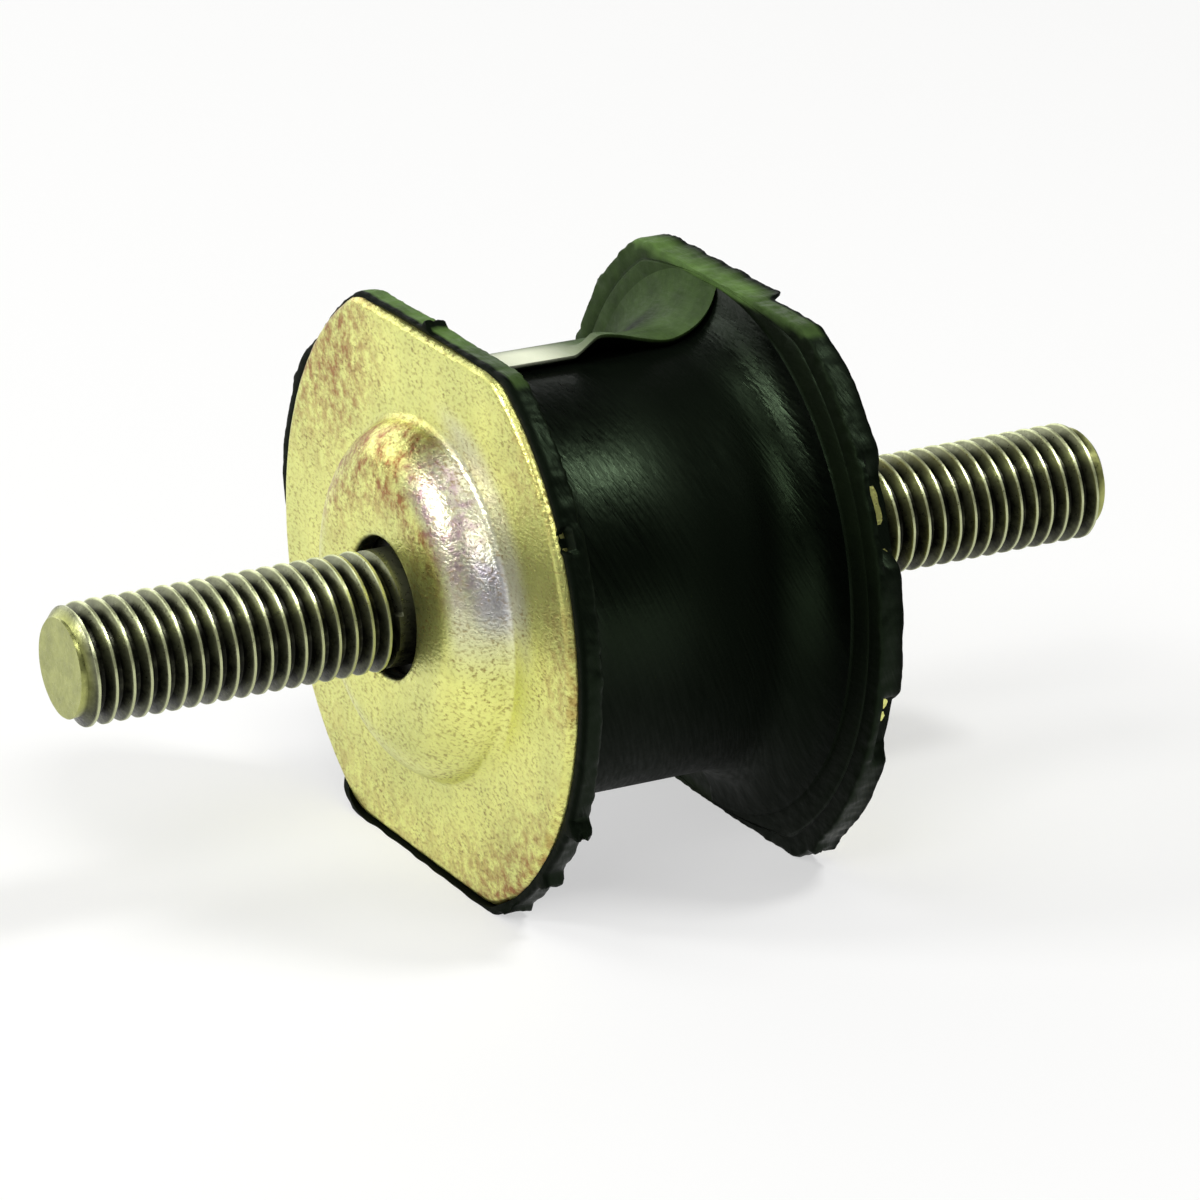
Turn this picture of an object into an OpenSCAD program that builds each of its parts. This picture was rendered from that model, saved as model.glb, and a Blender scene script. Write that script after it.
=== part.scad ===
// Transmission mount: a waisted rubber spool bonded between two pressed steel plates,
// with a threaded stud standing out of the raised boss of each plate.
// Millimetres. The stud axis is X, the front stud points to -X, the plates' flats face up and down.

/* [Studs] */
// Major diameter of the thread on both studs
stud_d = 10; // [8:0.5:11]
// Pitch of the thread, which sets the depth of the neck and of the tip chamfer
thread_pitch = 1.5; // [1:0.25:1.75]
// Reach of the front stud beyond the face of its boss
front_reach = 28.3; // [20:0.1:40]
// Reach of the rear stud beyond the face of its boss
rear_reach = 29.2; // [20:0.1:40]
// Length of the plain neck beyond the boss face, before the thread starts
neck_out = 0.8; // [0.4:0.1:3]
// Diameter of the round head inside each boss
head_d = 18; // [15:0.5:18.5]
// Thickness of the head inside each boss
head_t = 3.6; // [2.5:0.1:3.9]

/* [Plates] */
// Diameter of each plate over its round edges
plate_d = 51.2; // [50:0.1:56]
// Width of each plate across its two flats
plate_flats = 45.2; // [43.6:0.1:48]
// Sheet thickness
plate_t = 1.8; // [1.5:0.1:2.2]
// Radius of the rolled front edge
rim_r = 0.8; // [0.4:0.1:1.2]
// Diameter of the boss at its foot
boss_d = 31.6; // [30.8:0.1:36]
// Height of the boss above the plate's flat face
boss_h = 4; // [3.5:0.1:4.5]
// Radius of the rounded shoulder of the boss
crown_r = 5; // [4:0.1:5.5]
// Radius of the fillet round the foot of the boss
foot_r = 1; // [0.6:0.1:1.5]
// Clearance hole for the stud
hole_d = 11.7; // [11.4:0.1:13]

/* [Rubber] */
// Distance between the flat outer faces of the two plates
face_to_face = 29.2; // [27:0.1:36]
// Rubber standing out beyond the plates' round edges
rim_lip = 1.1; // [0.6:0.1:2]
// Rubber standing out beyond the plates' flats
flat_lip = 0.4; // [0.3:0.1:1]
// How far the rubber lip stops short of the plate's outer face
lip_setback = 0.5; // [0.3:0.1:1]
// Rubber skin behind each plate
skin_t = 0.8; // [0.5:0.1:1.5]
// Diameter of the waist
waist_d = 36; // [30:0.5:37]
// Fillet between the waist and each flange
fillet_r = 4.5; // [3:0.1:4.6]
// Mismatch of the two mould halves: the far half's waist stands this much higher
parting_step = 0.8; // [0.4:0.1:1.2]
// Length of the lifted flash flap on the parting line
flap_l = 7.6; // [4:0.1:9]
// Thickness of the flash flap
flap_t = 0.6; // [0.4:0.1:1]
// Overhang of the flap's edge over the near mould half
flap_out = 0.9; // [0.4:0.1:1.5]
// Slope of the flap along the mount, in degrees
flap_rise = 7; // [4:0.5:9]
// Slope of the flap across the mount, in degrees
flap_tilt = 14; // [10:1:20]
// Gap under the flap at its torn end
flap_gap = 0.4; // [0.2:0.1:0.6]
// Place of the flap's torn end along the mount
flap_x = 0.4; // [-2:0.1:1.5]
// Width of the flap that is rooted in the far half
flap_root = 2.4; // [2:0.1:4]

/* [Hidden] */
$fn = 96;
eps = 0.01;
u_face = face_to_face / 2;
u_back = u_face - plate_t;
u_rim = u_back - skin_t;
u_lip = u_face - lip_setback;
u_boss = u_face + boss_h;
u_seat = u_boss - plate_t;
u_head = u_seat - head_t;
boss_r = boss_d / 2;
top_r = boss_r - sqrt(pow(crown_r + foot_r, 2) - pow(crown_r + foot_r - boss_h, 2));
wall_a = acos((crown_r + foot_r - boss_h) / (crown_r + foot_r));
waist_r = waist_d / 2;
plate_r = plate_d / 2;
plate_hf = plate_flats / 2;
flange_r = plate_r + rim_lip;
flange_hf = plate_hf + flat_lip;
thread_depth = 0.6134 * thread_pitch;
steel = [0.80, 0.77, 0.50];
stud_steel = [0.42, 0.42, 0.30];
rubber = [0.06, 0.08, 0.06];

// Points of an arc, in turn from angle a to angle b
function arc(cx, cy, r, a, b, n) =
  [for (i = [0 : n]) [cx + r * cos(a + (b - a) * i / n), cy + r * sin(a + (b - a) * i / n)]];

// The sheet's inner surface from the head seat out to the flat, at radius and axial place
function seat_curve() = concat(
  arc(top_r, u_boss - crown_r, crown_r - plate_t, 90, 90 - wall_a, 9),
  arc(boss_r, u_face + foot_r, foot_r + plate_t, 270 - wall_a, 270, 9));

// The sheet's outer surface from the flat in to the boss face
function boss_curve() = concat(
  arc(boss_r, u_face + foot_r, foot_r, 270, 270 - wall_a, 6),
  arc(top_r, u_boss - crown_r, crown_r, 90 - wall_a, 90, 12));

// Turns a piece built along +Z to stand along +X
module along_x() {
  rotate([0, 90, 0]) children();
}

// A slab between the upper and lower flats, for pieces that lie along X
module between_flats(half, lo, hi) {
  translate([lo, -40, -half]) cube([hi - lo, 80, 2 * half]);
}

// One plate on the +X side: turned section with its two flats cut
module plate_solid() {
  intersection() {
    along_x() rotate_extrude() polygon(concat(
      [[hole_d / 2, u_seat]],
      seat_curve(),
      [[plate_r, u_back]],
      arc(plate_r - rim_r, u_face - rim_r, rim_r, 0, 90, 6),
      boss_curve(),
      [[hole_d / 2, u_boss]]));
    between_flats(plate_hf, u_back - 1, u_boss + 1);
  }
}

// One stud on the +X side: head, plain neck, threaded shank and chamfered tip
module stud_solid(reach) {
  tip = u_boss + reach;
  along_x() rotate_extrude() polygon([
    [0, u_head],
    [head_d / 2, u_head],
    [head_d / 2, u_seat],
    [stud_d / 2 - thread_depth, u_seat],
    [stud_d / 2 - thread_depth, u_boss + neck_out - thread_depth],
    [stud_d / 2, u_boss + neck_out],
    [stud_d / 2, tip - thread_depth],
    [stud_d / 2 - thread_depth, tip],
    [0, tip]]);
}

// The rubber inside one boss, on the +X side
module boss_fill() {
  along_x() rotate_extrude() polygon(concat(
    [[0, u_back - eps]],
    [[0, u_seat]],
    seat_curve(),
    [[boss_r, u_back - eps]]));
}

// The space that one stud's head takes up, on the +X side
module head_pocket() {
  translate([u_head, 0, 0]) along_x() cylinder(d = head_d, h = head_t + 1);
}

// The lip that holds one plate's edge, on the +X side
module plate_lip() {
  difference() {
    intersection() {
      translate([u_back - eps, 0, 0]) along_x() cylinder(r = flange_r, h = u_lip - u_back + eps);
      between_flats(flange_hf, u_back - 1, u_lip + 1);
    }
    intersection() {
      translate([u_back, 0, 0]) along_x() cylinder(r = plate_r, h = plate_t);
      between_flats(plate_hf, u_back - 1, u_lip + 1);
    }
  }
}

// The groove round the waist, cut on the +Y half only
module waist_groove() {
  outside = flange_r + 4;
  along_x() rotate_extrude(angle = 180) polygon(concat(
    [[outside, -u_rim]],
    arc(waist_r + fillet_r, fillet_r - u_rim, fillet_r, 270, 180, 12),
    arc(waist_r + fillet_r, u_rim - fillet_r, fillet_r, 180, 90, 12),
    [[outside, u_rim]]));
}

// The near mould half leaves its upper flats level with the plates
module near_flats() {
  translate([-u_face - 1, -40, plate_hf]) cube([2 * u_face + 2, 40, 20]);
}

// The flash flap lifted along the parting line on top of the waist
module flash_flap() {
  translate([flap_x, -flap_out, waist_r + parting_step + flap_gap])
    rotate([-flap_tilt, flap_rise, 0])
      cube([flap_l, flap_out + flap_root, flap_t]);
}

module rubber_body() {
  color(rubber) union() {
    difference() {
      union() {
        intersection() {
          translate([-u_back, 0, 0]) along_x() cylinder(r = flange_r, h = 2 * u_back);
          between_flats(flange_hf, -u_back - 1, u_back + 1);
        }
        boss_fill();
        mirror([1, 0, 0]) boss_fill();
        plate_lip();
        mirror([1, 0, 0]) plate_lip();
      }
      head_pocket();
      mirror([1, 0, 0]) head_pocket();
      translate([0, 0, parting_step]) waist_groove();
      mirror([0, 1, 0]) waist_groove();
      near_flats();
    }
    flash_flap();
  }
}

module front_plate() {
  color(steel) mirror([1, 0, 0]) plate_solid();
}

module rear_plate() {
  color(steel) plate_solid();
}

module front_stud() {
  color(stud_steel) mirror([1, 0, 0]) stud_solid(front_reach);
}

module rear_stud() {
  color(stud_steel) stud_solid(rear_reach);
}

rubber_body();
front_plate();
rear_plate();
front_stud();
rear_stud();
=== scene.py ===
import math
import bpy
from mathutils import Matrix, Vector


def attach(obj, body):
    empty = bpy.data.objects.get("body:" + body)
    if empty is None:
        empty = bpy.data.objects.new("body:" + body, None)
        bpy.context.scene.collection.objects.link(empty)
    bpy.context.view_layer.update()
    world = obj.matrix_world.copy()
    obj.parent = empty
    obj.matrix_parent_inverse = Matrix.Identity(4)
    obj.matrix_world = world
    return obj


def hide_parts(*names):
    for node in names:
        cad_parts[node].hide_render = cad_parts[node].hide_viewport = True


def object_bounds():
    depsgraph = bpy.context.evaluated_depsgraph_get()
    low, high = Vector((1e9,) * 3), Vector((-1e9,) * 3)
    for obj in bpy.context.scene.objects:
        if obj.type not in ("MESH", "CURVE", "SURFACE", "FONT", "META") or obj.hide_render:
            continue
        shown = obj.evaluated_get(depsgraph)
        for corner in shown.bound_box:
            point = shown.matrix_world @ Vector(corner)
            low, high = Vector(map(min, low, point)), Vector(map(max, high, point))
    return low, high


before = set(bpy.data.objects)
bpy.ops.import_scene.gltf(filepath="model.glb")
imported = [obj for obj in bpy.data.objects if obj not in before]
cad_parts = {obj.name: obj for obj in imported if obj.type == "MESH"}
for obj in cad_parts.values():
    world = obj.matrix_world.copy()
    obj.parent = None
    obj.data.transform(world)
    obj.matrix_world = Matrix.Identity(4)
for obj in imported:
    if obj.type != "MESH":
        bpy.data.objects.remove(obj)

from types import SimpleNamespace

import bmesh
import bpy
from bpy.props import FloatProperty, FloatVectorProperty, PointerProperty
from mathutils import Matrix, Vector, noise

bl_info = {
    "name": "Transmission mount",
    "version": (1, 0, 0),
    "blender": (4, 5, 0),
    "location": "View3D > Sidebar > Mount",
    "description": "Models the rubber, plates and studs of a transmission mount over its packed solids",
    "category": "Object",
}

MM = 0.001
CAD_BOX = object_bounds()

# Shapes are worked out in millimetres, and strengths of finishes run from 0 to 1
# Steps round the axis of each turned shape, and how often its first sector is doubled to fill the turn
RUBBER_STEPS, PLATE_STEPS, STUD_STEPS = 640, 512, 96
DOUBLINGS = 5
# Depth of a coarse thread as a share of its pitch
THREAD_DEPTH = 0.6134
# A thread's tooth: place along the pitch and height, both as shares
TOOTH = [(0.0, 0.0), (0.10, 0.02), (0.38, 0.86), (0.43, 1.0), (0.57, 1.0), (0.62, 0.86), (0.90, 0.02)]
# A node that mixes two colours takes them at inputs 6 and 7, and gives the result at output 2
COLOUR_MIX = {"data_type": "RGBA"}
WHITE = (1.0, 1.0, 1.0, 1.0)


def linear(hex_text):
    """Linear colour of an sRGB hex value."""
    parts = [int(hex_text[i:i + 2], 16) / 255 for i in (1, 3, 5)]
    return tuple(p / 12.92 if p <= 0.04045 else ((p + 0.055) / 1.055) ** 2.4 for p in parts)


def size(label, text, metres):
    """A length that a user may change."""
    return FloatProperty(name=label, description=text, default=metres, min=0.0, precision=5, unit="LENGTH")


def shade(label, text, hex_text):
    """A colour that a user may change."""
    return FloatVectorProperty(name=label, description=text, default=linear(hex_text), subtype="COLOR",
                               size=3, min=0.0, max=1.0)


def power(label, text, watts):
    """A lamp's power that a user may change."""
    return FloatProperty(name=label, description=text, default=watts, min=0.0, unit="POWER")


class MountForm(bpy.types.PropertyGroup):
    """Sizes of the mount, the same as those of its solids, and of what only the eye sees."""
    stud_d: size("Stud diameter", "Major diameter of the thread", 0.010)
    thread_pitch: size("Thread pitch", "Distance from crest to crest", 0.0015)
    front_reach: size("Front reach", "Front stud beyond the face of its boss", 0.0283)
    rear_reach: size("Rear reach", "Rear stud beyond the face of its boss", 0.0292)
    neck_out: size("Neck", "Plain neck beyond the boss face", 0.0008)
    head_d: size("Head diameter", "Round head inside the boss", 0.018)
    head_t: size("Head thickness", "Head from its seat to its back", 0.0036)
    plate_d: size("Plate diameter", "Plate over its round edges", 0.0512)
    plate_flats: size("Plate flats", "Plate across its two flats", 0.0452)
    plate_t: size("Sheet", "Thickness of the plate", 0.0018)
    rim_r: size("Rolled edge", "Radius of the plate's front edge", 0.0008)
    boss_d: size("Boss diameter", "Boss at its foot", 0.0316)
    boss_h: size("Boss height", "Boss above the plate's flat face", 0.004)
    crown_r: size("Boss shoulder", "Radius of the boss's shoulder", 0.005)
    foot_r: size("Boss foot", "Fillet round the boss's foot", 0.001)
    hole_d: size("Hole", "Clearance hole for the stud", 0.0117)
    face_to_face: size("Face to face", "Between the outer faces of the plates", 0.0292)
    rim_lip: size("Rim lip", "Rubber beyond the plate's round edge", 0.0011)
    flat_lip: size("Flat lip", "Rubber beyond the plate's flats", 0.0004)
    lip_setback: size("Lip setback", "Rubber lip behind the plate's outer face", 0.0005)
    skin_t: size("Skin", "Rubber behind each plate", 0.0008)
    waist_d: size("Waist", "Diameter of the rubber waist", 0.036)
    fillet_r: size("Flange fillet", "Fillet from waist to flange", 0.0045)
    parting_step: size("Parting step", "Mismatch of the mould halves", 0.0008)
    front_side: size("Front plate aside", "How far the front plate sits to the far side of the stud", 0.0008)
    front_drop: size("Front plate down", "How far the front plate sits below the stud's middle", 0.0003)
    flash_rag: size("Ragged flash", "Unevenness of the trimmed rims", 0.00012)
    flap_lift: size("Flap lift", "Rise of the torn flap on the parting line", 0.0017)


class MountFinish(bpy.types.PropertyGroup):
    """Colours of the mount and of its stage."""
    zinc: shade("Zinc", "Yellow passivated zinc", "#EEF090")
    zinc_dull: shade("Dull zinc", "Thinner, duller zinc", "#DADE86")
    stain: shade("Stain", "Brown iridescent patches", "#9E6A38")
    speck: shade("Speck", "Dark specks in the zinc", "#866C36")
    # Painted highlight: the pale lilac tint put where the front lamp's highlight falls on the boss
    lilac_highlight: shade("Lilac", "Pale lilac tint of the thin film on the boss", "#D2D0EC")
    # Painted shade: the stud's dark reflection beside it, and the shade in its hole
    smudge: shade("Smudge", "Oily smudge beside the stud", "#2E3A20")
    thread: shade("Crest", "Worn crests of the thread", "#D8DEAE")
    # Crests: wear, with the glint along each crest painted in
    flank: shade("Flank", "Olive zinc on the thread flanks", "#84876A")
    # Roots and lower side: dirt, with painted shade
    dirt_and_shade: shade("Grime", "Oil and dirt in the roots", "#16170F")
    tip: shade("Stud tip", "Cut end of the stud", "#AEB26C")
    rubber: shade("Rubber", "Black moulded rubber", "#040604")
    # Bloom and dust, also painted as light on the rubber's upper and far surfaces
    bloom_and_light: shade("Bloom", "Grey-green bloom and dust", "#6B8B4A")
    # Painted glare along the edge of the parting line
    chalk: shade("Chalk", "Pale skin on the edge of the parting line", "#F2F6DA")
    sheen: shade("Sheen", "Green cast of the rubber's gloss", "#CFFFBE")
    floor: shade("Floor", "Pale studio floor", "#F6F6F4")


class MountStage(bpy.types.PropertyGroup):
    """Camera and light."""
    azimuth: FloatProperty(name="Azimuth", description="Camera round the mount",
                           default=math.radians(-28.37), subtype="ANGLE")
    elevation: FloatProperty(name="Elevation", description="Camera above the floor",
                             default=math.radians(20.16), subtype="ANGLE")
    distance: size("Distance", "Camera from the middle of the mount", 0.549)
    lens: FloatProperty(name="Lens", description="Focal length", default=201.3, unit="CAMERA")
    shift_x: FloatProperty(name="Shift across", description="Frame across the lens axis", default=0.0129)
    shift_y: FloatProperty(name="Shift up", description="Frame up the lens axis", default=-0.0247)
    front: power("Front", "Soft lamp before the front plate", 1.9)
    top: power("Top", "Soft lamp above the front plate", 1.2)
    right: power("Right", "Lamp high on the right", 3.2)
    back: power("Back", "Wide low lamp behind", 3.2)
    left: power("Left", "Lamp on the left", 3.0)


def sizes_mm(context):
    """The form's sizes in millimetres, with the places that follow from them."""
    form = context.scene.mount_form
    f = SimpleNamespace(**{k: getattr(form, k) / MM for k in MountForm.__annotations__})
    f.u_face = f.face_to_face / 2
    f.u_back = f.u_face - f.plate_t
    f.u_rim = f.u_back - f.skin_t
    f.u_lip = f.u_face - f.lip_setback
    f.u_boss = f.u_face + f.boss_h
    f.u_seat = f.u_boss - f.plate_t
    f.u_head = f.u_seat - f.head_t
    f.boss_r = f.boss_d / 2
    bend = f.crown_r + f.foot_r
    f.top_r = f.boss_r - math.sqrt(bend ** 2 - (bend - f.boss_h) ** 2)
    f.wall_a = math.degrees(math.acos((bend - f.boss_h) / bend))
    f.plate_r, f.plate_hf = f.plate_d / 2, f.plate_flats / 2
    f.flange_r, f.flange_hf = f.plate_r + f.rim_lip, f.plate_hf + f.flat_lip
    f.waist_r = f.waist_d / 2
    f.core_r = f.waist_r + f.fillet_r
    f.depth = THREAD_DEPTH * f.thread_pitch
    return f


def arc(cx, cy, r, a, b, n):
    """Points of an arc from angle a to angle b, in degrees."""
    turns = [math.radians(a + (b - a) * i / n) for i in range(n + 1)]
    return [(cx + r * math.cos(t), cy + r * math.sin(t)) for t in turns]


def stretch(p, q, n):
    """Points from p towards q, without q."""
    return [(p[0] + (q[0] - p[0]) * i / n, p[1] + (q[1] - p[1]) * i / n) for i in range(n)]


def ramp(x, lo, hi):
    """Smooth rise from 0 at lo to 1 at hi."""
    t = min(1.0, max(0.0, (x - lo) / (hi - lo)))
    return t * t * (3 - 2 * t)


def grain(x, y, z, width):
    """Smooth noise whose bumps are about so many millimetres wide."""
    return noise.noise(Vector((x / width, y / width, z / width)))


def outline(turn, radius, half, corner=0.5):
    """Radius of a round outline with two flats, its corners slightly eased."""
    flat = half / max(abs(math.sin(turn)), 1e-6)
    ease = max(corner - abs(radius - flat), 0.0) / corner
    return min(radius, flat) - ease * ease * corner / 4


def turned(points, steps, closed):
    """A section of (radius, place along X) points, spun round X by one sector that is then doubled up."""
    bm = bmesh.new()
    verts = [bm.verts.new((u, r, 0.0)) for r, u in points]
    edges = [bm.edges.new(pair) for pair in zip(verts, verts[1:])]
    if closed:
        edges.append(bm.edges.new((verts[-1], verts[0])))
    sectors = 2 ** DOUBLINGS
    sector = math.tau / sectors
    bmesh.ops.spin(bm, geom=verts + edges, cent=(0, 0, 0), axis=(1, 0, 0), dvec=(0, 0, 0), angle=sector,
                   steps=steps // sectors, use_merge=False)
    for doubling in range(DOUBLINGS):
        copy = bmesh.ops.duplicate(bm, geom=bm.verts[:] + bm.edges[:] + bm.faces[:])["geom"]
        bmesh.ops.rotate(bm, cent=(0, 0, 0), matrix=Matrix.Rotation(sector * 2 ** doubling, 3, "X"),
                         verts=[v for v in copy if isinstance(v, bmesh.types.BMVert)])
    bmesh.ops.remove_doubles(bm, verts=bm.verts, dist=0.002)
    bmesh.ops.recalc_face_normals(bm, faces=bm.faces)
    return bm


def add_piece(bm, name, node, material, sharp):
    """Puts a finished bmesh in the scene in place of a CAD node, with edges over so many degrees sharp."""
    bmesh.ops.scale(bm, vec=(MM, MM, MM), verts=bm.verts)
    mesh = bpy.data.meshes.new(name)
    bm.to_mesh(mesh)
    bm.free()
    mesh.shade_smooth()
    mesh.set_sharp_from_angle(angle=math.radians(sharp))
    mesh.materials.append(material)
    piece = bpy.data.objects.new(name, mesh)
    bpy.context.scene.collection.objects.link(piece)
    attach(piece, "root")
    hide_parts(node)
    return piece


def add_node(tree, kind, settings=None, **inputs):
    """Adds a node; each input is a value or a socket to link, with _ for a space in its name."""
    node = tree.nodes.new(kind)
    for key, value in (settings or {}).items():
        setattr(node, key, value)
    for key, value in inputs.items():
        socket = node.inputs[int(key[2:])] if key.startswith("in") and key[2:].isdigit() \
            else node.inputs[key.replace("_", " ")]
        if isinstance(value, bpy.types.NodeSocket):
            tree.links.new(value, socket)
        else:
            socket.default_value = value
    return node


def new_material(name):
    """An empty node material with its shader linked to the output."""
    material = bpy.data.materials.new(name)
    material.use_nodes = True
    tree = material.node_tree
    tree.nodes.clear()
    shader = add_node(tree, "ShaderNodeBsdfPrincipled")
    add_node(tree, "ShaderNodeOutputMaterial", Surface=shader.outputs["BSDF"])
    return material, tree, shader


def rgba(colour):
    """A colour property as the four numbers that a socket takes."""
    return (*colour[:3], 1.0)


def passivated_zinc(finish):
    """Pressed sheet steel, zinc plated and yellow passivated: pale, satin, specked, with brown patches."""
    material, tree, shader = new_material("yellow_passivated_zinc")
    place = add_node(tree, "ShaderNodeTexCoord").outputs["Object"]
    # The film's thickness drifts over about 9 mm
    drift = add_node(tree, "ShaderNodeTexNoise", Vector=place, Scale=1 / (9 * MM), Detail=3.0, Roughness=0.6)
    film = add_node(tree, "ShaderNodeMapRange", Value=drift.outputs["Fac"], From_Min=0.38, From_Max=0.66)
    base = add_node(tree, "ShaderNodeMix", COLOUR_MIX, Factor=film.outputs["Result"], in6=rgba(finish.zinc),
                    in7=rgba(finish.zinc_dull))
    # Brown patches where the film is thick, broken up at 1.2 mm
    mask = add_node(tree, "ShaderNodeAttribute", {"attribute_name": "stain"})
    broken = add_node(tree, "ShaderNodeTexNoise", Vector=place, Scale=1 / (1.2 * MM), Detail=5.0,
                      Roughness=0.7)
    soft = add_node(tree, "ShaderNodeMapRange", Value=broken.outputs["Fac"], From_Min=0.4, From_Max=0.62)
    patch = add_node(tree, "ShaderNodeMath", {"operation": "MULTIPLY"}, in0=mask.outputs["Fac"],
                     in1=soft.outputs["Result"])
    tinted = add_node(tree, "ShaderNodeMix", COLOUR_MIX, Factor=patch.outputs["Value"], in6=base.outputs[2],
                      in7=rgba(finish.stain))
    # Painted highlight: a pale lilac patch on the boss's right shoulder, where the front lamp's highlight
    # falls
    thin = add_node(tree, "ShaderNodeAttribute", {"attribute_name": "lilac_highlight"})
    highlighted = add_node(tree, "ShaderNodeMix", COLOUR_MIX, Factor=thin.outputs["Fac"], in6=tinted.outputs[2],
                       in7=rgba(finish.lilac_highlight))
    # Painted shade: the dark reflection of the stud painted beside it, and black painted in the hole's wall
    shade_mask = add_node(tree, "ShaderNodeAttribute", {"attribute_name": "smudge"})
    shaded = add_node(tree, "ShaderNodeMix", COLOUR_MIX, Factor=shade_mask.outputs["Fac"], in6=highlighted.outputs[2],
                       in7=rgba(finish.smudge))
    # Specks of about 0.27 mm, drawn out along the sheet's rolling, gathered in clusters of about 3 mm
    rolled = add_node(tree, "ShaderNodeMapping", {"vector_type": "TEXTURE"}, Vector=place,
                      Scale=(0.27 * MM, 0.55 * MM, 0.27 * MM))
    speck = add_node(tree, "ShaderNodeTexNoise", Vector=rolled.outputs["Vector"], Scale=1.0, Detail=2.0,
                     Roughness=0.55)
    spots = add_node(tree, "ShaderNodeMapRange", Value=speck.outputs["Fac"], From_Min=0.5, From_Max=0.68)
    cluster = add_node(tree, "ShaderNodeTexNoise", Vector=place, Scale=1 / (3 * MM), Detail=3.0,
                       Roughness=0.6)
    gather = add_node(tree, "ShaderNodeMapRange", Value=cluster.outputs["Fac"], From_Min=0.4, From_Max=0.7,
                      To_Min=0.3, To_Max=0.85)
    dots = add_node(tree, "ShaderNodeMath", {"operation": "MULTIPLY"}, in0=spots.outputs["Result"],
                    in1=gather.outputs["Result"])
    specked = add_node(tree, "ShaderNodeMix", COLOUR_MIX, Factor=dots.outputs["Value"],
                       in6=shaded.outputs[2], in7=rgba(finish.speck))
    tree.links.new(specked.outputs[2], shader.inputs["Base Color"])
    gloss = add_node(tree, "ShaderNodeMapRange", Value=speck.outputs["Fac"], From_Min=0.3, From_Max=0.75,
                     To_Min=0.27, To_Max=0.46)
    tree.links.new(gloss.outputs["Result"], shader.inputs["Roughness"])
    shader.inputs["Metallic"].default_value = 0.9
    bump = add_node(tree, "ShaderNodeBump", Strength=0.5, Distance=0.12 * MM, Height=speck.outputs["Fac"])
    tree.links.new(bump.outputs["Normal"], shader.inputs["Normal"])
    return material


def zinc_thread(finish):
    """Rolled thread, zinc plated: crests painted bright as wear and glint, roots and lower side painted dark
    as shade with dirt, a pale cut end.
    """
    material, tree, shader = new_material("zinc_plated_thread")
    place = add_node(tree, "ShaderNodeTexCoord").outputs["Object"]
    crest = add_node(tree, "ShaderNodeAttribute", {"attribute_name": "crest"})
    # Dirt and painted shade lie unevenly over about 1.5 mm
    cling = add_node(tree, "ShaderNodeTexNoise", Vector=place, Scale=1 / (1.5 * MM), Detail=4.0,
                     Roughness=0.65)
    uneven = add_node(tree, "ShaderNodeMath", {"operation": "MULTIPLY_ADD"}, in0=cling.outputs["Fac"],
                      in1=0.7, in2=crest.outputs["Fac"])
    clean = add_node(tree, "ShaderNodeMapRange", Value=uneven.outputs["Value"], From_Min=0.35, From_Max=1.15)
    base = add_node(tree, "ShaderNodeMix", COLOUR_MIX, Factor=clean.outputs["Result"],
                    in6=rgba(finish.dirt_and_shade), in7=rgba(finish.flank))
    # Only the very crest is painted bright, as wear and as the glint along it
    worn = add_node(tree, "ShaderNodeMapRange", Value=crest.outputs["Fac"], From_Min=0.84, From_Max=0.97)
    bright = add_node(tree, "ShaderNodeMix", COLOUR_MIX, Factor=worn.outputs["Result"], in6=base.outputs[2],
                      in7=rgba(finish.thread))
    # The cut end is pale and mottled
    tip = add_node(tree, "ShaderNodeAttribute", {"attribute_name": "tip"})
    mottle = add_node(tree, "ShaderNodeMapRange", Value=cling.outputs["Fac"], From_Min=0.3, From_Max=0.62,
                      To_Min=0.7, To_Max=1.0)
    cut = add_node(tree, "ShaderNodeMath", {"operation": "MULTIPLY"}, in0=tip.outputs["Fac"],
                   in1=mottle.outputs["Result"])
    ended = add_node(tree, "ShaderNodeMix", COLOUR_MIX, Factor=cut.outputs["Value"], in6=bright.outputs[2],
                     in7=rgba(finish.tip))
    tree.links.new(ended.outputs[2], shader.inputs["Base Color"])
    shader.inputs["Metallic"].default_value = 0.85
    # Fine scratches of about 0.25 mm
    fine = add_node(tree, "ShaderNodeTexNoise", Vector=place, Scale=1 / (0.25 * MM), Detail=2.0)
    gloss = add_node(tree, "ShaderNodeMapRange", Value=fine.outputs["Fac"], From_Min=0.3, From_Max=0.7,
                     To_Min=0.26, To_Max=0.46)
    tree.links.new(gloss.outputs["Result"], shader.inputs["Roughness"])
    bump = add_node(tree, "ShaderNodeBump", Strength=0.25, Distance=0.04 * MM, Height=fine.outputs["Fac"])
    tree.links.new(bump.outputs["Normal"], shader.inputs["Normal"])
    return material


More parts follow.
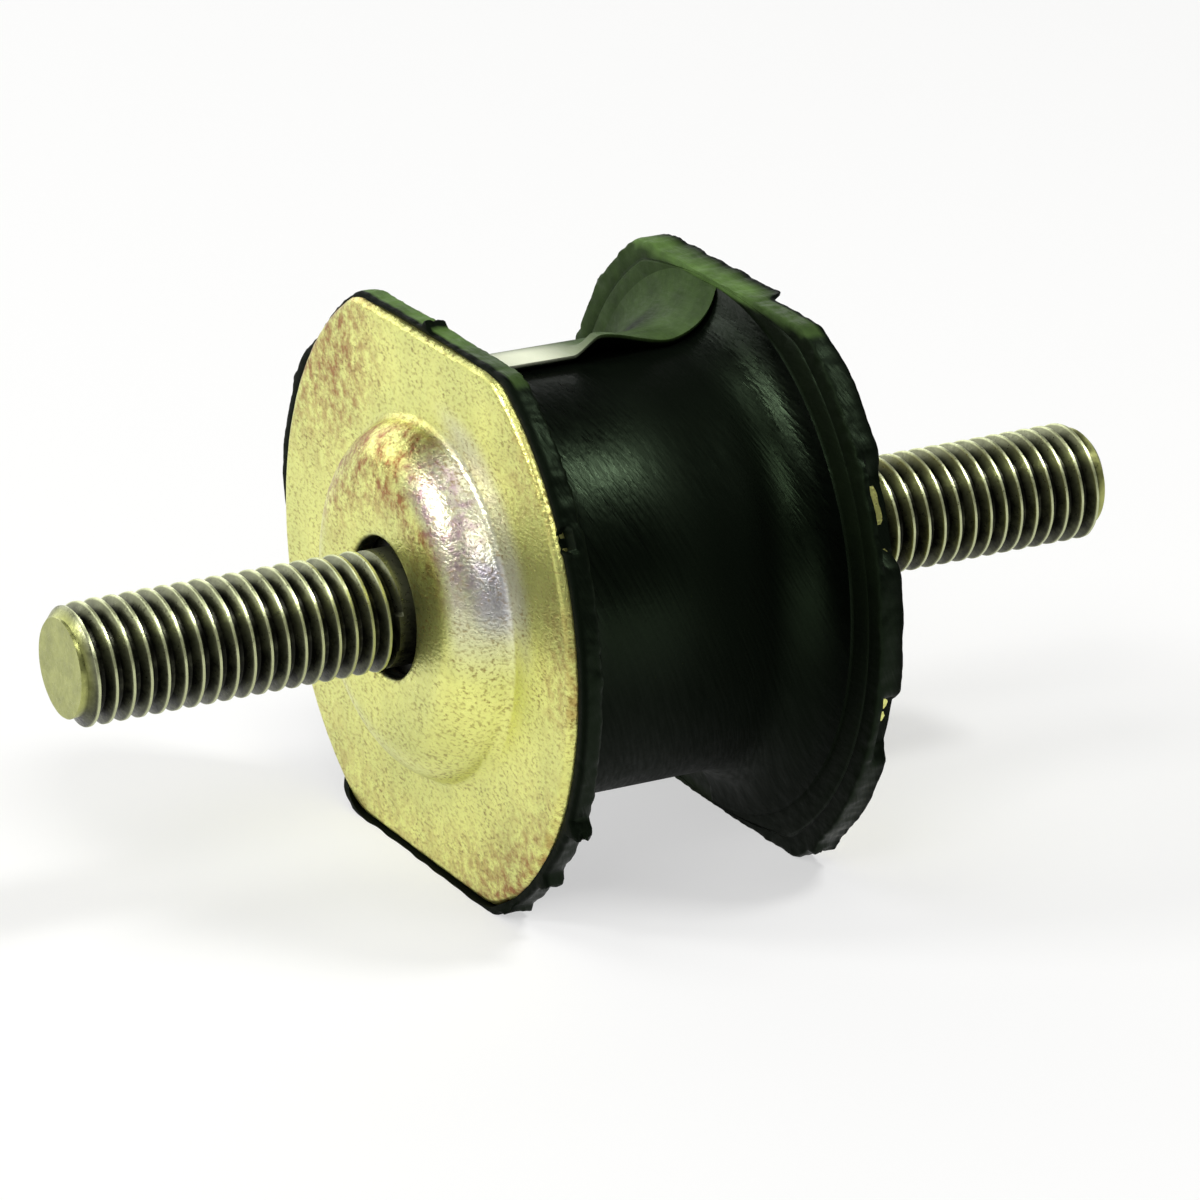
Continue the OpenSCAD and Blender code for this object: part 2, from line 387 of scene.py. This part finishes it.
def moulded_rubber(finish):
    """Black natural rubber from a steel mould: satin, with fine tool marks and a grey-green bloom, also
    painted as light on its upper and far surfaces.
    """
    material, tree, shader = new_material("moulded_natural_rubber")
    place = add_node(tree, "ShaderNodeTexCoord").outputs["Object"]
    # Bloom, painted lighter where the light falls on the upper and far surfaces, comes in clouds of about 2.5
    # mm
    bloom_light_mask = add_node(tree, "ShaderNodeAttribute", {"attribute_name": "bloom_and_light"})
    cloud = add_node(tree, "ShaderNodeTexNoise", Vector=place, Scale=1 / (2.5 * MM), Detail=5.0,
                     Roughness=0.65)
    patchy = add_node(tree, "ShaderNodeMapRange", Value=cloud.outputs["Fac"], From_Min=0.25, From_Max=0.7,
                      To_Min=0.45, To_Max=1.0)
    amount = add_node(tree, "ShaderNodeMath", {"operation": "MULTIPLY"}, in0=bloom_light_mask.outputs["Fac"],
                      in1=patchy.outputs["Result"])
    base = add_node(tree, "ShaderNodeMix", COLOUR_MIX, Factor=amount.outputs["Value"],
                    in6=rgba(finish.rubber), in7=rgba(finish.bloom_and_light))
    # Painted glare: a pale strip along the edge of the parting line, where the light grazes
    pale = add_node(tree, "ShaderNodeAttribute", {"attribute_name": "chalk"})
    chalky = add_node(tree, "ShaderNodeMix", COLOUR_MIX, Factor=pale.outputs["Fac"], in6=base.outputs[2],
                      in7=rgba(finish.chalk))
    tree.links.new(chalky.outputs[2], shader.inputs["Base Color"])
    shader.inputs["IOR"].default_value = 1.52
    shader.inputs["Specular Tint"].default_value = rgba(finish.sheen)
    # Tool marks of the mould, oblique streaks about 0.24 mm apart and 4 mm long
    slant = add_node(tree, "ShaderNodeMapping", {"vector_type": "TEXTURE"}, Vector=place,
                     Rotation=(0.0, math.radians(-24), 0.0), Scale=(0.24 * MM, 1.5 * MM, 4 * MM))
    streak = add_node(tree, "ShaderNodeTexNoise", Vector=slant.outputs["Vector"], Scale=1.0, Detail=3.0)
    # The mould was more polished in places
    polish = add_node(tree, "ShaderNodeAttribute", {"attribute_name": "polish"})
    level = add_node(tree, "ShaderNodeMapRange", Value=polish.outputs["Fac"], To_Min=0.05, To_Max=0.17)
    tree.links.new(level.outputs["Result"], shader.inputs["Specular IOR Level"])
    even = add_node(tree, "ShaderNodeMapRange", Value=polish.outputs["Fac"], To_Min=0.5, To_Max=0.14)
    gloss = add_node(tree, "ShaderNodeMath", {"operation": "MULTIPLY_ADD"}, in0=streak.outputs["Fac"],
                     in1=0.36, in2=even.outputs["Result"])
    tree.links.new(gloss.outputs["Value"], shader.inputs["Roughness"])
    # A slight pebble of about 0.6 mm under the tool marks
    pebble = add_node(tree, "ShaderNodeTexNoise", Vector=place, Scale=1 / (0.6 * MM), Detail=3.0)
    both = add_node(tree, "ShaderNodeMath", {"operation": "MULTIPLY_ADD"}, in0=pebble.outputs["Fac"],
                    in1=0.3, in2=streak.outputs["Fac"])
    bump = add_node(tree, "ShaderNodeBump", Strength=0.5, Distance=0.13 * MM, Height=both.outputs["Value"])
    tree.links.new(bump.outputs["Normal"], shader.inputs["Normal"])
    return material


def plate_section(f):
    """The sheet's section as a ring of points, out along its back and in along its face."""
    hole, burr = f.hole_d / 2, 0.15
    section = [(hole + burr, f.u_seat)]
    section += arc(f.top_r, f.u_boss - f.crown_r, f.crown_r - f.plate_t, 90, 90 - f.wall_a, 10)
    section += arc(f.boss_r, f.u_face + f.foot_r, f.foot_r + f.plate_t, 270 - f.wall_a, 270, 10)[1:]
    section += stretch((f.boss_r, f.u_back), (f.plate_r - burr, f.u_back), 10)[1:]
    section += [(f.plate_r - burr, f.u_back), (f.plate_r, f.u_back + burr)]
    section += arc(f.plate_r - f.rim_r, f.u_face - f.rim_r, f.rim_r, 0, 90, 8)
    section += stretch((f.plate_r - f.rim_r, f.u_face), (f.boss_r, f.u_face), 14)[1:]
    section += arc(f.boss_r, f.u_face + f.foot_r, f.foot_r, 270, 270 - f.wall_a, 8)
    section += arc(f.top_r, f.u_boss - f.crown_r, f.crown_r, 90 - f.wall_a, 90, 18)
    # The punch drew the hole's outer edge in
    section += [(hole + 0.7, f.u_boss), (hole + 0.25, f.u_boss - 0.06), (hole, f.u_boss - 0.3)]
    section += [(hole, f.u_seat + burr)]
    return section


def plate_stain(f, r, y, z):
    """How brown the zinc is at a place on a plate, with y to the far side and z up from the stud's axis."""
    shoulder = ramp(r, f.top_r - 3, f.top_r + 0.5) * (1 - ramp(r, f.boss_r - 1.5, f.boss_r)) * ramp(z, 1, 9)
    corner = ramp(y, 4, 15) * ramp(z, 2, 16) * ramp(r, f.boss_r, f.boss_r + 2)
    near_corner = ramp(-y, 12, 18) * ramp(z, 10, 16)
    near_edge = ramp(-y, 19, 23) * (1 - ramp(abs(z - 2), 2, 8))
    low = ramp(-z, 4, 18) * ramp(-y, 2, 14) * ramp(r, f.boss_r + 1, f.plate_r - 1)
    under = ramp(-z, 10, 20) * ramp(r, f.boss_r, f.plate_r)
    marks = 0.95 * shoulder + 0.9 * corner + 0.4 * near_corner + 0.55 * near_edge + 0.6 * low + 0.35 * under
    return min(1.0, marks + 0.08)


def plate_painted_highlight(f, r, y, z):
    """How much painted highlight pales and tints the zinc lilac: on the boss's near shoulder, and most in a
    spot at its foot.
    """
    pale = ramp(r, f.top_r + 0.5, f.top_r + 2.5) * (1 - ramp(r, f.boss_r + 1, f.boss_r + 4))
    pale *= ramp(-y, 1, 7) * ramp(z, -3, 4)
    foot = ramp(r, f.top_r + 3.2, f.top_r + 4.6) * (1 - ramp(r, f.boss_r - 0.8, f.boss_r + 0.2))
    spot = foot * ramp(-y, 9, 12) * (1 - ramp(abs(z - 5), 1.2, 4.2))
    return 0.4 * pale + 0.3 * spot


def plate_smudge(y, z):
    """How dark the plate is painted: the stud's reflection in a band beside the stud, and faintly beyond the
    boss.
    """
    band = (1 - ramp(abs(z - 2.2), 2.2, 6.2)) * ramp(-y, 4.0, 5.8) * (1 - ramp(-y, 8.2, 11))
    beyond = ramp(-y, 15.5, 17.5) * (1 - ramp(abs(z - 6.5), 2, 6))
    return 0.6 * band + 0.25 * beyond


def pressed_plate(f, side):
    """One plate: its section spun round the stud axis, then drawn in to the two flats."""
    bm = turned(plate_section(f), PLATE_STEPS, True)
    stain = bm.verts.layers.float.new("stain")
    lilac_highlight = bm.verts.layers.float.new("lilac_highlight")
    smudge = bm.verts.layers.float.new("smudge")
    # The boss and its foot stay round
    fixed = f.boss_r + 0.4
    for v in bm.verts:
        x, y, z = v.co
        r, turn = math.hypot(y, z), math.atan2(z, y)
        if r > fixed:
            reach = outline(turn, f.plate_r, f.plate_hf, 0.8)
            rag = 0.06 * grain(y, z, side * 7.0, 0.9) * ramp(r, f.plate_r - 1.0, f.plate_r)
            out = fixed + (r - fixed) * (reach - fixed) / (f.plate_r - fixed) + rag
            v.co.y, v.co.z = y * out / r, z * out / r
        # The sheet is a little wavy after pressing
        v.co.x = x + 0.05 * grain(v.co.y, v.co.z, side * 3.0, 14.0)
        y, z = v.co.y, v.co.z
        v[stain] = plate_stain(f, r, y, z)
        # Painted highlight on the boss's near shoulder
        v[lilac_highlight] = plate_painted_highlight(f, r, y, z)
        # The wall of the hole is painted black, as shade in the gap round the stud
        in_hole = r < f.hole_d / 2 + 0.2 and x < f.u_boss - 0.2
        v[smudge] = 1.0 if in_hole else plate_smudge(y, z)
        if side < 0:
            aside = ramp(r, f.boss_r, f.plate_r)
            v.co.y, v.co.z = y + f.front_side * aside, z - f.front_drop * aside
    bmesh.ops.scale(bm, vec=(side, 1, 1), verts=bm.verts)
    bmesh.ops.recalc_face_normals(bm, faces=bm.faces)
    return bm


def threaded_stud(f, reach, side):
    """One stud: a thread section spun along its helix, cut off at the tip, on a round head."""
    pitch, major = f.thread_pitch, f.stud_d / 2
    minor, tip = major - f.depth, f.u_boss + reach
    start = f.u_seat - 2.2 * pitch
    turns = math.ceil((tip - start) / pitch) + 2
    bm = bmesh.new()
    verts = [bm.verts.new((start + (i + along) * pitch, minor + f.depth * rise, 0.0))
             for i in range(turns) for along, rise in TOOTH]
    edges = [bm.edges.new(pair) for pair in zip(verts, verts[1:])]
    bmesh.ops.spin(bm, geom=verts + edges, cent=(0, 0, 0), axis=(1, 0, 0), dvec=(pitch / STUD_STEPS, 0, 0),
                   angle=math.tau, steps=STUD_STEPS, use_merge=False)
    bmesh.ops.remove_doubles(bm, verts=bm.verts, dist=0.005)
    # Plain collar at the boss and chamfer at the tip
    collar_r = major - 0.15
    for v in bm.verts:
        x, y, z = v.co
        r = math.hypot(y, z)
        chamfer = minor - 0.05 + max(0.0, tip - x)
        thread = min(r + 0.03 * grain(x, y, z, 1.1), chamfer)
        out = collar_r if x < f.u_boss + f.neck_out else thread
        v.co.y, v.co.z = y * out / r, z * out / r
    for place, way in ((tip, 1), (f.u_seat - 0.2, -1)):
        bmesh.ops.bisect_plane(bm, geom=bm.verts[:] + bm.edges[:] + bm.faces[:], dist=1e-4,
                               plane_co=(place, 0, 0), plane_no=(way, 0, 0), clear_outer=True)
    bmesh.ops.holes_fill(bm, edges=[e for e in bm.edges if e.is_boundary], sides=0)
    head_r, burr = f.head_d / 2, 0.3
    head = turned([(0.0, f.u_head), (head_r - burr, f.u_head), (head_r, f.u_head + burr), (head_r, f.u_seat),
                   (0.0, f.u_seat)], STUD_STEPS, False)
    mesh = bpy.data.meshes.new("head")
    head.to_mesh(mesh)
    head.free()
    bm.from_mesh(mesh)
    bpy.data.meshes.remove(mesh)
    crest = bm.verts.layers.float.new("crest")
    ended = bm.verts.layers.float.new("tip")
    for v in bm.verts:
        r = math.hypot(v.co.y, v.co.z)
        # The head is as dark as the roots, and painted shade darkens the lower side but hardly the very crest
        worn = 0.0 if r > major + 0.1 else min(1.0, max(0.0, (r - minor) / f.depth))
        lower_shade = 0.8 * ramp(-v.co.z / max(r, 0.1), -0.75, 0.2)
        v[crest] = worn * (1 - lower_shade * (0.1 if worn > 0.93 else 1.0))
        v[ended] = ramp(v.co.x, tip - 0.9, tip - 0.2)
    if side < 0:
        bmesh.ops.scale(bm, vec=(-1, -1, 1), verts=bm.verts)
    bmesh.ops.recalc_face_normals(bm, faces=bm.faces)
    return bm


# Torn bits of flash: side of the mount, place and half width in degrees round the rim from the far side,
# and height in mm. The first is the stub on the front flange's upper flat.
NUBS = [(-1, 90, 1.5, 0.7), (-1, -154.5, 1.5, 1.5), (-1, -138, 2.2, 0.7), (-1, -124, 1.6, 0.5),
        (-1, 12, 4, 0.3), (-1, 26, 2, 0.3), (1, -128, 2.0, 0.5), (1, 40, 3, 0.5), (1, 25, 2, 0.4),
        (1, 64, 2, 0.4), (1, 150, 3, 0.3)]
# Places where the lip is worn down to the plate: side, place and half width in degrees
BARE = [(1, 157, 11), (1, -163, 8), (-1, 152, 2.6)]
# Steps of the spin that form the lapped edge of the parting line, and those that lift with the flap
EDGE_RINGS = (0, 1, 2)
LIFTED_RINGS = 16


def lip(f, side, place):
    """How far the rubber stands out beyond the plate's round edge at a place round the rim in degrees."""
    if side > 0:
        return f.rim_lip
    if abs(place) < 90:
        return 0.15 + 1.1 * ramp(place, -6, 6) * (1 - ramp(place, 30, 42))
    return f.rim_lip - 0.5 * ramp(place, -155, -140) * (1 - ramp(place, -100, -90))


def lap(side, y, z):
    """How far the lip runs past the plate's edge, most on the rear's upper flat and the front's lower one."""
    if side > 0:
        return 1.25 * ramp(z, 21, 22.4) * ramp(y, -7, -5.5) + 0.45 * ramp(-y, 12, 18)
    return 0.8 * ramp(-z, 21, 22.4)


def rubber_section(f):
    """Half of the spool's section, from the middle of the waist to the hidden face behind the plate."""
    inner_r, outer_r, gap = 0.35, 0.3, 0.02
    half = stretch((f.waist_r, 0.0), (f.waist_r, f.u_rim - f.fillet_r), 26)
    half += arc(f.core_r, f.u_rim - f.fillet_r, f.fillet_r, 180, 90, 14)
    # The flange's inner face is set back a little and has a fine groove
    face = f.u_rim + 0.22
    half += [(f.core_r + out, face + cut) for out, cut in
             ((0.12, 0), (1.1, 0), (2.1, 0), (2.3, 0.14), (2.5, 0), (3.2, 0))]
    half += arc(f.flange_r - inner_r, face + inner_r, inner_r, 270, 360, 3)
    half += stretch((f.flange_r, face + inner_r), (f.flange_r, f.u_lip - outer_r), 4)[1:]
    half += arc(f.flange_r - outer_r, f.u_lip - outer_r, outer_r, 0, 90, 3)
    half += [(f.plate_r + 0.35, f.u_lip), (f.plate_r + gap, f.u_lip - 0.15), (f.plate_r + gap, f.u_back)]
    half += [(f.boss_r, f.u_back), (0.0, f.u_back)]
    return half


def waist_place(f, x, r, turn, ring, near):
    """Where a point of the waist goes: the far half stands higher, and its edge laps over the near one."""
    tear = ramp(x, -1.2, 0.9) * (1 - ramp(x, 0.5, 8.0))
    lift = f.flap_lift * tear
    y, z = r * math.cos(turn), r * math.sin(turn) + (0.0 if near else f.parting_step)
    if ring in EDGE_RINGS:
        over = 0.3 + 0.12 * grain(x, 0.0, 5.0, 2.2) + 0.9 * tear
        high = r + f.parting_step + lift
        y = (-over, 0.06 - over, 0.2 + 1.4 * tear)[ring]
        z = (high, high - 0.32, r + 0.03 + 0.3 * tear)[ring]
    elif -LIFTED_RINGS < ring < 0:
        z += lift * (1 + ring / LIFTED_RINGS) ** 2
    return y, min(z, f.plate_hf - 0.1)


def waist_finish(f, x, z, r, turn, near):
    """Bloom with painted light, polish and painted glare of the waist: the near half is left dark, the far
    half is painted lighter towards its upper edge.
    """
    shine = 1 - 0.9 * ramp(x, -4, 4) * (1 - ramp(x, f.u_rim - f.fillet_r, f.u_rim - 2))
    if near:
        return 0.0, shine * (1 - 0.8 * ramp(-z, -4, 6)), 0.0
    rise = ramp(r, f.waist_r, f.core_r)
    # Bloom with painted light: the far half is painted lighter towards the top, where the light falls
    dust_and_light = 0.02 + 0.42 * ramp(turn, 0.9, 1.45) * (1 - 0.4 * rise)
    dust_and_light += (0.36 - dust_and_light) * ramp(rise, 0.05, 0.4) * ramp(turn, 0.3, 0.9)
    # Painted glare: a pale strip on the far skin's edge near the front flange, where the light grazes
    pale = 0.92 * ramp(turn, 1.15, 1.45) * (1 - ramp(x, -5, 1.5))
    return dust_and_light, 0.3 * shine, pale


def ragged(f, side, x, y, z, place):
    """Unevenness of a flange's edge in mm at a place in degrees, with its torn bits of flash."""
    rag = f.flash_rag * (grain(y, z, x, 1.6) + 0.7 * grain(y, z, x + 9, 0.6))
    for nub_side, middle, width, height in NUBS:
        apart = (place - middle) / width
        if nub_side == side and abs(apart) < 1:
            rag += height * (1 - apart * apart) * (0.75 + 0.5 * grain(y, z, x, 0.5))
    return rag


def worn_down(f, side, x, y, z, place, out):
    """The lip's radius, brought down to the plate's edge where the lip is worn off."""
    for bare_side, middle, width in BARE:
        apart = abs((place - middle + 180) % 360 - 180)
        if bare_side == side and apart < width:
            worn = (1 - ramp(apart, 0.4 * width, width)) * (1 + 0.5 * grain(x, y, z, 0.8))
            out += min(1.0, 1.4 * worn) * min(0.0, f.plate_r - 0.1 - out)
    return out


def in_pocket(f, x, r):
    """Whether a point of a flange lies in the pocket that holds the plate's edge."""
    return r <= f.plate_r + 0.03 and abs(x) > f.u_back - 0.001


def on_stub(f, x, r, turn):
    """Whether a point of the front flange is part of the torn stub on its upper flat."""
    side, middle, width, _ = NUBS[0]
    return x * side > 0 and abs(math.degrees(turn) - middle) < width and not in_pocket(f, x, r)


def flange_place(f, x, y, z, near, torn):
    """Where a point of a flange goes: its place along X and its radius."""
    side = 1 if x > 0 else -1
    r, turn = math.hypot(y, z), math.atan2(z, y)
    place = math.degrees(turn)
    half_flat = f.plate_hf + 0.35 if near and z > 0 else f.flange_hf
    reach = outline(turn, f.plate_r + lip(f, side, place), half_flat)
    if in_pocket(f, x, r):
        return x, min(outline(turn, f.plate_r, f.plate_hf), reach - 0.02)
    share = (r - f.core_r) / (f.flange_r - f.core_r)
    edge = ramp(share, 0.8, 1.0)
    rag = ragged(f, side, x, y, z, place)
    if abs(math.sin(turn)) * reach > half_flat - 0.05:
        # The mount lies on its lower flats, so nothing stands out there
        rag = min(rag, 0.0) * 0.6 if z < 0 else max(rag, -0.1)
    out = f.core_r + share * (reach - f.core_r) + edge * rag
    along = x
    # The inner edge is wavy, the outer edge laps over the plate and is worn off in places
    if abs(x) < f.u_rim + 0.4:
        along += side * edge * 0.18 * grain(y, z, 3.0, 0.9)
    if torn and r > f.plate_r + 0.3:
        along += side * lap(side, y, z) * (1 + 0.35 * grain(y, z, 6.0, 2.5))
    if abs(x) > f.u_back + (0.2 if side > 0 else 0.6):
        out = worn_down(f, side, x, y, z, place, out)
    return along, out


def flange_finish(f, x, y, z, height, near, torn):
    """Bloom with painted light, polish and painted glare of a flange: lighter on its upper flat, and dark
    where it is torn, as the torn faces lie in shade.
    """
    if torn:
        return 0.0, 0.15, 0.0
    # The upper flat and the far inner face are painted lighter towards the top, where the light falls, with
    # bloom
    top = ramp(height, f.plate_hf - 0.5, f.plate_hf - 0.1) * (1 - 0.55 * ramp(-y, 3, 9))
    inner = 0.0 if abs(x) > f.u_rim + 0.4 else 0.02 if near else 0.26
    dust_and_light = max(0.86 * top, inner * (0.35 + 0.65 * ramp(z, -4, 16)))
    shine = 0.7 * (1 - 0.8 * top) if abs(x) > f.u_rim + 0.3 else 0.15
    return dust_and_light, shine, 0.0


def rubber_spool(f):
    """The rubber: its section spun, drawn in to the flats, stepped at the parting line, torn at the rims."""
    half = rubber_section(f)
    bm = turned([(r, -u) for r, u in half[:0:-1]] + half, RUBBER_STEPS, False)
    bloom_and_light = bm.verts.layers.float.new("bloom_and_light")
    polish = bm.verts.layers.float.new("polish")
    chalk = bm.verts.layers.float.new("chalk")
    for v in bm.verts:
        x, y, z = v.co
        r, turn = math.hypot(y, z), math.atan2(z, y)
        behind_plate = r < f.boss_r + 0.01 and abs(abs(x) - f.u_back) < 0.001
        if behind_plate:
            continue
        # Steps of the spin past the upper parting line, counted towards the near half
        ring = round((turn - math.pi / 2) * RUBBER_STEPS / math.tau)
        near = abs(turn) > math.pi / 2 + 0.001 or ring > 0
        if r <= f.core_r + 0.001:
            v.co.y, v.co.z = waist_place(f, x, r, turn, ring, near)
            finish = waist_finish(f, x, v.co.z, r, turn, near)
        else:
            # The lip's outer edge is trimmed flash
            torn = abs(x) > f.u_lip - 0.35
            v.co.x, out = flange_place(f, x, y, z, near, torn)
            v.co.y, v.co.z = math.cos(turn) * out, math.sin(turn) * out
            if x < 0:
                aside = ramp(r, f.core_r, f.plate_r)
                v.co.y += f.front_side * aside
                v.co.z = max(v.co.z - f.front_drop * aside, -f.flange_hf)
            torn = torn or on_stub(f, x, r, turn)
            finish = flange_finish(f, x, y, z, math.sin(turn) * out, near, torn)
        v[bloom_and_light], v[polish], v[chalk] = finish
    bmesh.ops.recalc_face_normals(bm, faces=bm.faces)
    return bm


class MOUNT_OT_plates(bpy.types.Operator):
    """Models the two pressed plates"""
    bl_idname = "mount.plates"
    bl_label = "Pressed plates"

    def execute(self, context):
        f = sizes_mm(context)
        zinc = passivated_zinc(context.scene.mount_finish)
        for name, side in (("front_plate", -1), ("rear_plate", 1)):
            add_piece(pressed_plate(f, side), name + "_pressing", name, zinc, sharp=50)
        return {"FINISHED"}


class MOUNT_OT_studs(bpy.types.Operator):
    """Models the two threaded studs"""
    bl_idname = "mount.studs"
    bl_label = "Threaded studs"

    def execute(self, context):
        f = sizes_mm(context)
        steel = zinc_thread(context.scene.mount_finish)
        for name, reach, side in (("front_stud", f.front_reach, -1), ("rear_stud", f.rear_reach, 1)):
            add_piece(threaded_stud(f, reach, side), name + "_thread", name, steel, sharp=28)
        return {"FINISHED"}


class MOUNT_OT_rubber(bpy.types.Operator):
    """Models the rubber spool with its flash"""
    bl_idname = "mount.rubber"
    bl_label = "Rubber spool"

    def execute(self, context):
        f = sizes_mm(context)
        rubber = moulded_rubber(context.scene.mount_finish)
        add_piece(rubber_spool(f), "rubber_spool", "rubber_body", rubber, sharp=40)
        return {"FINISHED"}


def soft_lamp(name, place, width, height, watts):
    """A flat soft lamp that points at the mount."""
    data = bpy.data.lights.new(name, "AREA")
    data.shape = "RECTANGLE"
    data.size, data.size_y = width, height
    data.energy = watts
    lamp = bpy.data.objects.new(name, data)
    lamp.location = place
    lamp.rotation_euler = (-Vector(place)).to_track_quat("-Z", "Y").to_euler()
    bpy.context.scene.collection.objects.link(lamp)


def studio_floor(finish):
    """Matt painted floor: white to the camera and in gloss, with the shadow left on it."""
    material, tree, shader = new_material("matt_studio_floor")
    tree.nodes.remove(shader)
    ray = add_node(tree, "ShaderNodeLightPath")
    seen = add_node(tree, "ShaderNodeMath", {"operation": "MAXIMUM"}, in0=ray.outputs["Is Camera Ray"],
                    in1=ray.outputs["Is Glossy Ray"])
    seen = add_node(tree, "ShaderNodeMath", {"operation": "MAXIMUM"}, in0=seen.outputs["Value"],
                    in1=ray.outputs["Is Transmission Ray"])
    share = add_node(tree, "ShaderNodeMath", {"operation": "MULTIPLY"}, in0=seen.outputs["Value"], in1=0.55)
    matt = add_node(tree, "ShaderNodeBsdfDiffuse", Color=rgba(finish.floor))
    glow = add_node(tree, "ShaderNodeEmission", Color=WHITE, Strength=1.0)
    mixed = add_node(tree, "ShaderNodeMixShader", Fac=share.outputs["Value"], in1=matt.outputs["BSDF"],
                     in2=glow.outputs["Emission"])
    out = next(n for n in tree.nodes if n.type == "OUTPUT_MATERIAL")
    tree.links.new(mixed.outputs["Shader"], out.inputs["Surface"])
    return material


def add_floor(scene):
    """A wide flat floor under the mount."""
    bm = bmesh.new()
    bmesh.ops.create_grid(bm, x_segments=1, y_segments=1, size=3.0)
    bmesh.ops.translate(bm, vec=(0, 0, CAD_BOX[0].z), verts=bm.verts)
    mesh = bpy.data.meshes.new("floor")
    bm.to_mesh(mesh)
    bm.free()
    mesh.materials.append(studio_floor(scene.mount_finish))
    floor = bpy.data.objects.new("floor", mesh)
    scene.collection.objects.link(floor)


def add_world(scene):
    """Faint even light from all round."""
    world = bpy.data.worlds.new("studio")
    scene.world = world
    world.use_nodes = True
    tree = world.node_tree
    tree.nodes.clear()
    sky = add_node(tree, "ShaderNodeBackground", Color=WHITE, Strength=0.08)
    add_node(tree, "ShaderNodeOutputWorld", Surface=sky.outputs["Background"])


def add_camera(scene, stage):
    """A long lens that looks at the middle of the mount."""
    data = bpy.data.cameras.new("camera")
    data.lens, data.sensor_width = stage.lens, 36.0
    data.shift_x, data.shift_y = stage.shift_x, stage.shift_y
    data.clip_start, data.clip_end = 0.01, 20.0
    camera = bpy.data.objects.new("camera", data)
    a, e = stage.azimuth, stage.elevation
    back = Vector((math.sin(a) * math.cos(e), -math.cos(a) * math.cos(e), math.sin(e)))
    camera.location = back * stage.distance
    camera.rotation_euler = (-back).to_track_quat("-Z", "Y").to_euler()
    scene.collection.objects.link(camera)
    scene.camera = camera


class MOUNT_OT_stage(bpy.types.Operator):
    """Sets the floor, the lamps and the camera"""
    bl_idname = "mount.stage"
    bl_label = "Stage"

    def execute(self, context):
        scene, stage = context.scene, context.scene.mount_stage
        add_floor(scene)
        soft_lamp("front_lamp", (-0.42, -0.45, 0.60), 0.32, 0.32, stage.front)
        soft_lamp("top_lamp", (-0.24, 0.08, 0.82), 0.34, 0.34, stage.top)
        soft_lamp("right_lamp", (0.38, -0.24, 0.72), 0.16, 0.16, stage.right)
        soft_lamp("back_lamp", (-0.05, 0.75, 0.26), 1.20, 0.40, stage.back)
        soft_lamp("left_lamp", (-0.70, 0.22, 0.42), 0.20, 0.20, stage.left)
        add_world(scene)
        add_camera(scene, stage)
        scene.view_settings.view_transform = "Standard"
        return {"FINISHED"}


class MOUNT_PT_panel(bpy.types.Panel):
    """Lists the mount's pieces"""
    bl_idname = "MOUNT_PT_panel"
    bl_label = "Transmission mount"
    bl_space_type = "VIEW_3D"
    bl_region_type = "UI"
    bl_category = "Mount"

    def draw(self, context):
        for name in ("mount.rubber", "mount.plates", "mount.studs", "mount.stage"):
            self.layout.operator(name)
        for group in (context.scene.mount_form, context.scene.mount_finish, context.scene.mount_stage):
            box = self.layout.box()
            for key in type(group).__annotations__:
                box.prop(group, key)


CLASSES = (MountForm, MountFinish, MountStage, MOUNT_OT_rubber, MOUNT_OT_plates, MOUNT_OT_studs,
           MOUNT_OT_stage, MOUNT_PT_panel)


def register():
    for cls in CLASSES:
        bpy.utils.register_class(cls)
    bpy.types.Scene.mount_form = PointerProperty(type=MountForm)
    bpy.types.Scene.mount_finish = PointerProperty(type=MountFinish)
    bpy.types.Scene.mount_stage = PointerProperty(type=MountStage)


def unregister():
    del bpy.types.Scene.mount_form, bpy.types.Scene.mount_finish, bpy.types.Scene.mount_stage
    for cls in reversed(CLASSES):
        bpy.utils.unregister_class(cls)


def main():
    register()
    bpy.ops.mount.rubber()
    bpy.ops.mount.plates()
    bpy.ops.mount.studs()
    bpy.ops.mount.stage()


if __name__ == "__main__":
    main()
